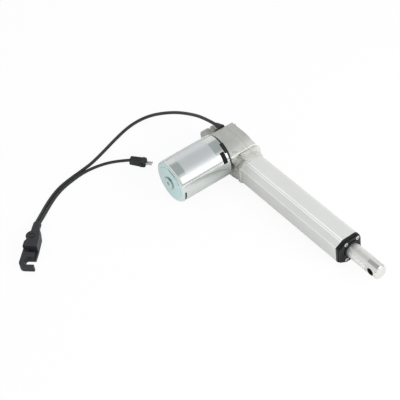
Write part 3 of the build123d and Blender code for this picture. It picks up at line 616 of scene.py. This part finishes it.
class ACTUATOR_OT_studio(Operator):
    """Set the floor, the soft lights and the camera"""

    bl_idname = "actuator.studio"
    bl_label = "Studio"

    def execute(self, context):
        floor()
        surroundings(context.scene)
        for light in LIGHTS:
            softbox(*light)
        camera(context.scene)
        return {"FINISHED"}


def floor():
    """Pale floor that keeps a faint shadow."""
    bpy.ops.object.select_all(action="DESELECT")
    bpy.ops.mesh.primitive_plane_add(size=FLOOR_WIDTH, location=(0, 0, FLOOR_Z))
    piece = bpy.context.object
    piece.name = "floor"
    finish = Finish("floor_white")
    finish.surface(Base_Color=(0.85, 0.85, 0.85, 1), Roughness=0.9)
    glow = finish.node("ShaderNodeEmission", None, {"Color": (1, 1, 1, 1), "Strength": 1.0})
    path = finish.node("ShaderNodeLightPath")
    seen = Value(finish, path.outputs["Is Camera Ray"]) + Value(finish, path.outputs["Is Transmission Ray"])
    sockets = {0: seen * FLOOR_GLOW, 1: finish.shader.outputs[0], 2: glow.outputs[0]}
    mixed = finish.node("ShaderNodeMixShader", None, sockets)
    finish.tree.links.new(mixed.outputs[0], finish.tree.nodes["Material Output"].inputs["Surface"])
    piece.data.materials.append(finish.material)


def surroundings(scene):
    """Room seen white, with bright walls, a dark skirting and a dimmer ceiling for the reflections."""
    world = bpy.data.worlds.new("studio")
    scene.world = world
    world.use_nodes = True
    tree = world.node_tree
    coordinates = tree.nodes.new("ShaderNodeTexCoord")
    height = tree.nodes.new("ShaderNodeSeparateXYZ")
    room = tree.nodes.new("ShaderNodeValToRGB")
    stops = room.color_ramp.elements
    stops[0].position, stops[0].color = ROOM[0]
    stops[1].position, stops[1].color = ROOM[1]
    for place, colour in ROOM[2:]:
        stops.new(place).color = colour
    path = tree.nodes.new("ShaderNodeLightPath")
    seen = tree.nodes.new("ShaderNodeMath")
    seen.operation = "MAXIMUM"
    mix = tree.nodes.new("ShaderNodeMix")
    mix.data_type = "RGBA"
    mix.inputs[7].default_value = (1, 1, 1, 1)
    tree.links.new(coordinates.outputs["Generated"], height.inputs[0])
    tree.links.new(height.outputs["Z"], room.inputs["Fac"])
    tree.links.new(path.outputs["Is Camera Ray"], seen.inputs[0])
    tree.links.new(path.outputs["Is Transmission Ray"], seen.inputs[1])
    tree.links.new(seen.outputs[0], mix.inputs["Factor"])
    tree.links.new(room.outputs["Color"], mix.inputs[6])
    tree.links.new(mix.outputs[2], tree.nodes["Background"].inputs["Color"])


def softbox(name, place, target, size, power, mirrored):
    """Square area light aimed at a point, seen in reflections or not."""
    light = bpy.data.lights.new(name, "AREA")
    light.size = size
    light.energy = power
    holder = bpy.data.objects.new(name, light)
    holder.visible_glossy = mirrored
    aim = Vector(target) - Vector(place)
    holder.matrix_world = Matrix.Translation(place) @ aim.to_track_quat("-Z", "Y").to_matrix().to_4x4()
    bpy.context.collection.objects.link(holder)


def camera(scene):
    """Camera at the photograph's viewing angle, fitted to the edges of the can, the tube and the rod."""
    data = bpy.data.cameras.new("camera")
    data.lens = LENS
    data.clip_end = CAMERA_REACH
    right = Vector(CAMERA_RIGHT)
    up = Vector(CAMERA_UP)
    back = right.cross(up)
    holder = bpy.data.objects.new("camera", data)
    turn = Matrix((right, up, back)).transposed().to_4x4()
    holder.matrix_world = Matrix.Translation(CAMERA_PLACE) @ turn
    bpy.context.collection.objects.link(holder)
    scene.camera = holder


class ACTUATOR_PT_panel(Panel):
    """Lists the steps and the settings in the sidebar"""

    bl_idname = "ACTUATOR_PT_panel"
    bl_label = "Actuator"
    bl_space_type = "VIEW_3D"
    bl_region_type = "UI"
    bl_category = "Actuator"

    def draw(self, context):
        for step in STEPS:
            self.layout.operator(step.bl_idname)
        for settings in (context.scene.actuator_sizes, context.scene.actuator_colours):
            for name in settings.__annotations__:
                self.layout.prop(settings, name)


STEPS = [
    ACTUATOR_OT_studio,
    ACTUATOR_OT_cords,
    ACTUATOR_OT_gearbox,
    ACTUATOR_OT_tube,
    ACTUATOR_OT_rod,
    ACTUATOR_OT_drive,
    ACTUATOR_OT_motor,
]
CLASSES = [ActuatorSizes, ActuatorColours, *STEPS, ACTUATOR_PT_panel]


def register():
    """Adds the classes and the scene's settings."""
    for item in CLASSES:
        bpy.utils.register_class(item)
    bpy.types.Scene.actuator_sizes = PointerProperty(type=ActuatorSizes)
    bpy.types.Scene.actuator_colours = PointerProperty(type=ActuatorColours)


def unregister():
    """Takes them away again."""
    del bpy.types.Scene.actuator_colours
    del bpy.types.Scene.actuator_sizes
    for item in reversed(CLASSES):
        bpy.utils.unregister_class(item)


def main():
    """Registers the classes, sets the view and runs the steps that dress the frame."""
    register()
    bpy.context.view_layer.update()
    bpy.context.scene.view_settings.view_transform = "Standard"
    for step in STEPS:
        group, name = step.bl_idname.split(".")
        getattr(getattr(bpy.ops, group), name)()


if __name__ == "__main__":
    main()
